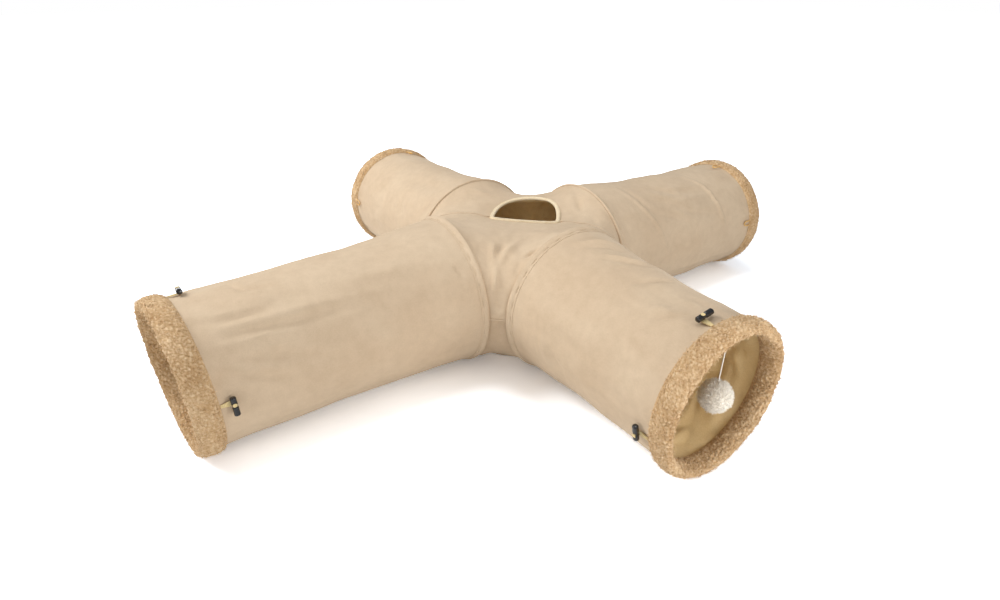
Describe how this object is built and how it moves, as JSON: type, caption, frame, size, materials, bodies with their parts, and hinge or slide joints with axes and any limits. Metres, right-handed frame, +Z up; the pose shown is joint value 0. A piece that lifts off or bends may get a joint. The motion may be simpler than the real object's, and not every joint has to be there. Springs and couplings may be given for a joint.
{
  "type": "cat tunnel",
  "caption": "Cross-shaped fabric cat tunnel: spring-held suede legs with plush mouths meet at a hub with a D-shaped entry hole, with toggles, loops and a hanging pompom.",
  "frame": {"origin": "on the floor under the middle of the hub", "axes": "+X along the rear right leg, +Y along the rear left leg, +Z up from the floor"},
  "size_m": [1.2528, 1.0635, 0.2694],
  "materials": {
    "suede": "soft brushed nap",
    "plush": "short curly pile",
    "lining": "smooth woven, slightly shiny",
    "binding": "matte woven tape",
    "elastic": "matte ribbed elastic",
    "black_plastic": "glossy moulded",
    "steel": "drawn wire",
    "cord": "matte twisted cord",
    "pompom": "fluffy yarn"
  },
  "bodies": {
    "tunnel": {"hub_front_panel": "suede", "hub_rear_panel": "suede", "hub_base_panel": "suede", "hub_lining": "lining", "entry_binding": "binding", "rear_right_sleeve": "suede", "rear_right_lining": "lining", "rear_right_coil": "steel", "rear_right_hub_hoop": "steel", "rear_right_junction_band": "suede", "rear_left_sleeve": "suede", "rear_left_lining": "lining", "rear_left_coil": "steel", "rear_left_hub_hoop": "steel", "rear_left_junction_band": "suede", "front_left_sleeve": "suede", "front_left_lining": "lining", "front_left_coil": "steel", "front_left_hub_hoop": "steel", "front_left_junction_band": "suede", "front_right_sleeve": "suede", "front_right_lining": "lining", "front_right_coil": "steel", "front_right_hub_hoop": "steel", "front_right_junction_band": "suede"},
    "rear_right_rim": {"rear_right_plush_rim": "plush", "rear_right_rim_hoop": "steel"},
    "rear_left_rim": {"rear_left_plush_rim": "plush", "rear_left_rim_hoop": "steel"},
    "front_left_rim": {"front_left_plush_rim": "plush", "front_left_rim_hoop": "steel"},
    "front_right_rim": {"front_right_plush_rim": "plush", "front_right_rim_hoop": "steel"},
    "front_left_top_tab": {"front_left_top_toggle_tab": "elastic"},
    "front_left_top_toggle": {"front_left_top_toggle": "black_plastic"},
    "front_left_left_tab": {"front_left_left_toggle_tab": "elastic"},
    "front_left_left_toggle": {"front_left_left_toggle": "black_plastic"},
    "front_left_right_tab": {"front_left_right_toggle_tab": "elastic"},
    "front_left_right_toggle": {"front_left_right_toggle": "black_plastic"},
    "front_right_top_tab": {"front_right_top_toggle_tab": "elastic"},
    "front_right_top_toggle": {"front_right_top_toggle": "black_plastic"},
    "front_right_left_tab": {"front_right_left_toggle_tab": "elastic"},
    "front_right_left_toggle": {"front_right_left_toggle": "black_plastic"},
    "front_right_right_tab": {"front_right_right_toggle_tab": "elastic"},
    "front_right_right_toggle": {"front_right_right_toggle": "black_plastic"},
    "rear_right_top_loop": {"rear_right_top_loop": "elastic"},
    "rear_right_left_loop": {"rear_right_left_loop": "elastic"},
    "rear_right_right_loop": {"rear_right_right_loop": "elastic"},
    "rear_left_top_loop": {"rear_left_top_loop": "elastic"},
    "rear_left_left_loop": {"rear_left_left_loop": "elastic"},
    "rear_left_right_loop": {"rear_left_right_loop": "elastic"},
    "pompom_cord": {"pompom_cord": "cord"},
    "pompom": {"pompom": "pompom"}
  },
  "joints": [
    {"name": "rear_right_fold", "type": "slide", "parent": "tunnel", "child": "rear_right_rim", "axis": [-1, 0, 0], "range_m": [0, 0.336], "stiffness_N_per_m": 40, "springref_m": -0.02, "deforming": ["rear_right_sleeve", "rear_right_lining", "rear_right_coil"]},
    {"name": "rear_left_fold", "type": "slide", "parent": "tunnel", "child": "rear_left_rim", "axis": [0, -1, 0], "range_m": [0, 0.285], "stiffness_N_per_m": 40, "springref_m": -0.02, "deforming": ["rear_left_sleeve", "rear_left_lining", "rear_left_coil"]},
    {"name": "front_left_fold", "type": "slide", "parent": "tunnel", "child": "front_left_rim", "axis": [1, 0, 0], "range_m": [0, 0.357], "stiffness_N_per_m": 40, "springref_m": -0.02, "deforming": ["front_left_sleeve", "front_left_lining", "front_left_coil"]},
    {"name": "front_right_fold", "type": "slide", "parent": "tunnel", "child": "front_right_rim", "axis": [0, 1, 0], "range_m": [0, 0.226], "stiffness_N_per_m": 40, "springref_m": -0.02, "deforming": ["front_right_sleeve", "front_right_lining", "front_right_coil"]},
    {"name": "front_left_top_tab_flap", "type": "hinge", "parent": "front_left_rim", "child": "front_left_top_tab", "pos_m": [-0.59673, 0.03107, 0.24119], "axis": [-0.0055, -0.9659, 0.2588], "range_deg": [0, 90], "stiffness_Nm_per_rad": 0.01, "springref_deg": -5.73},
    {"name": "front_left_top_toggle_swivel", "type": "hinge", "parent": "front_left_top_tab", "child": "front_left_top_toggle", "pos_m": [-0.57989, 0.03229, 0.2461], "axis": [-0.0333, 0.2589, 0.9653], "range_deg": [-45, 90]},
    {"name": "front_left_left_tab_flap", "type": "hinge", "parent": "front_left_rim", "child": "front_left_left_tab", "pos_m": [-0.6072, 0.11975, 0.11686], "axis": [-0.0205, 0.0697, 0.9974], "range_deg": [0, 90], "stiffness_Nm_per_rad": 0.01, "springref_deg": -5.73},
    {"name": "front_left_left_toggle_swivel", "type": "hinge", "parent": "front_left_left_tab", "child": "front_left_left_toggle", "pos_m": [-0.59025, 0.12445, 0.11688], "axis": [-0.0109, 0.9975, -0.07], "range_deg": [-45, 90]},
    {"name": "front_left_right_tab_flap", "type": "hinge", "parent": "front_left_rim", "child": "front_left_right_tab", "pos_m": [-0.57885, -0.11975, 0.13361], "axis": [0.0227, -0.0697, -0.9973], "range_deg": [0, 90], "stiffness_Nm_per_rad": 0.01, "springref_deg": -5.73},
    {"name": "front_left_right_toggle_swivel", "type": "hinge", "parent": "front_left_right_tab", "child": "front_left_right_toggle", "pos_m": [-0.56192, -0.12447, 0.13432], "axis": [-0.0152, -0.9975, 0.0694], "range_deg": [-45, 90]},
    {"name": "front_right_top_tab_flap", "type": "hinge", "parent": "front_right_rim", "child": "front_right_top_tab", "pos_m": [-0.02085, -0.46208, 0.24361], "axis": [0.9848, -0.0053, 0.1736], "range_deg": [0, 90], "stiffness_Nm_per_rad": 0.01, "springref_deg": -5.73},
    {"name": "front_right_top_toggle_swivel", "type": "hinge", "parent": "front_right_top_tab", "child": "front_right_top_toggle", "pos_m": [-0.02169, -0.44531, 0.24886], "axis": [-0.1737, -0.0482, 0.9836], "range_deg": [-45, 90]},
    {"name": "front_right_left_tab_flap", "type": "hinge", "parent": "front_right_rim", "child": "front_right_left_tab", "pos_m": [-0.11653, -0.46202, 0.09628], "axis": [-0.2418, -0.0295, 0.9699], "range_deg": [0, 90], "stiffness_Nm_per_rad": 0.01, "springref_deg": -5.73},
    {"name": "front_right_left_toggle_swivel", "type": "hinge", "parent": "front_right_left_tab", "child": "front_right_left_toggle", "pos_m": [-0.1212, -0.44507, 0.09563], "axis": [-0.9702, -0.0109, -0.2422], "range_deg": [-45, 90]},
    {"name": "front_right_right_tab_flap", "type": "hinge", "parent": "front_right_rim", "child": "front_right_right_tab", "pos_m": [0.11944, -0.46202, 0.11278], "axis": [-0.1045, 0.0302, -0.9941], "range_deg": [0, 90], "stiffness_Nm_per_rad": 0.01, "springref_deg": -5.73},
    {"name": "front_right_right_toggle_swivel", "type": "hinge", "parent": "front_right_right_tab", "child": "front_right_right_toggle", "pos_m": [0.12423, -0.4451, 0.11279], "axis": [0.9944, -0.0151, -0.105], "range_deg": [-45, 90]},
    {"name": "rear_right_top_loop_flap", "type": "hinge", "parent": "rear_right_rim", "child": "rear_right_top_loop", "pos_m": [0.57211, -0.01059, 0.24623], "axis": [0.002, 0.9962, 0.0872], "range_deg": [0, 120], "stiffness_Nm_per_rad": 0.005, "springref_deg": -5.73},
    {"name": "rear_right_left_loop_flap", "type": "hinge", "parent": "rear_right_rim", "child": "rear_right_left_loop", "pos_m": [0.57205, -0.12054, 0.14005], "axis": [0.0224, 0.1218, 0.9923], "range_deg": [0, 120], "stiffness_Nm_per_rad": 0.005, "springref_deg": -5.73},
    {"name": "rear_right_right_loop_flap", "type": "hinge", "parent": "rear_right_rim", "child": "rear_right_right_loop", "pos_m": [0.57203, 0.12054, 0.11045], "axis": [-0.0224, -0.1218, -0.9923], "range_deg": [0, 120], "stiffness_Nm_per_rad": 0.005, "springref_deg": -5.73},
    {"name": "rear_left_top_loop_flap", "type": "hinge", "parent": "rear_left_rim", "child": "rear_left_top_loop", "pos_m": [0.03144, 0.52112, 0.24261], "axis": [-0.9659, 0.0066, 0.2588], "range_deg": [0, 120], "stiffness_Nm_per_rad": 0.005, "springref_deg": -5.73},
    {"name": "rear_left_left_loop_flap", "type": "hinge", "parent": "rear_left_rim", "child": "rear_left_left_loop", "pos_m": [0.12056, 0.52104, 0.11048], "axis": [0.1218, 0.0255, 0.9922], "range_deg": [0, 120], "stiffness_Nm_per_rad": 0.005, "springref_deg": -5.73},
    {"name": "rear_left_right_loop_flap", "type": "hinge", "parent": "rear_left_rim", "child": "rear_left_right_loop", "pos_m": [-0.12056, 0.52106, 0.14008], "axis": [-0.1218, -0.0255, -0.9922], "range_deg": [0, 120], "stiffness_Nm_per_rad": 0.005, "springref_deg": -5.73},
    {"name": "pompom_swing", "type": "hinge", "parent": "front_right_rim", "child": "pompom_cord", "pos_m": [-0.00903, -0.48, 0.22826], "axis": [1, 0, 0], "range_deg": [-60, 60]},
    {"name": "pompom_tilt", "type": "hinge", "parent": "pompom_cord", "child": "pompom", "pos_m": [-0.00903, -0.48, 0.16026], "axis": [0, 1, 0], "range_deg": [-30, 30]}
  ]
}
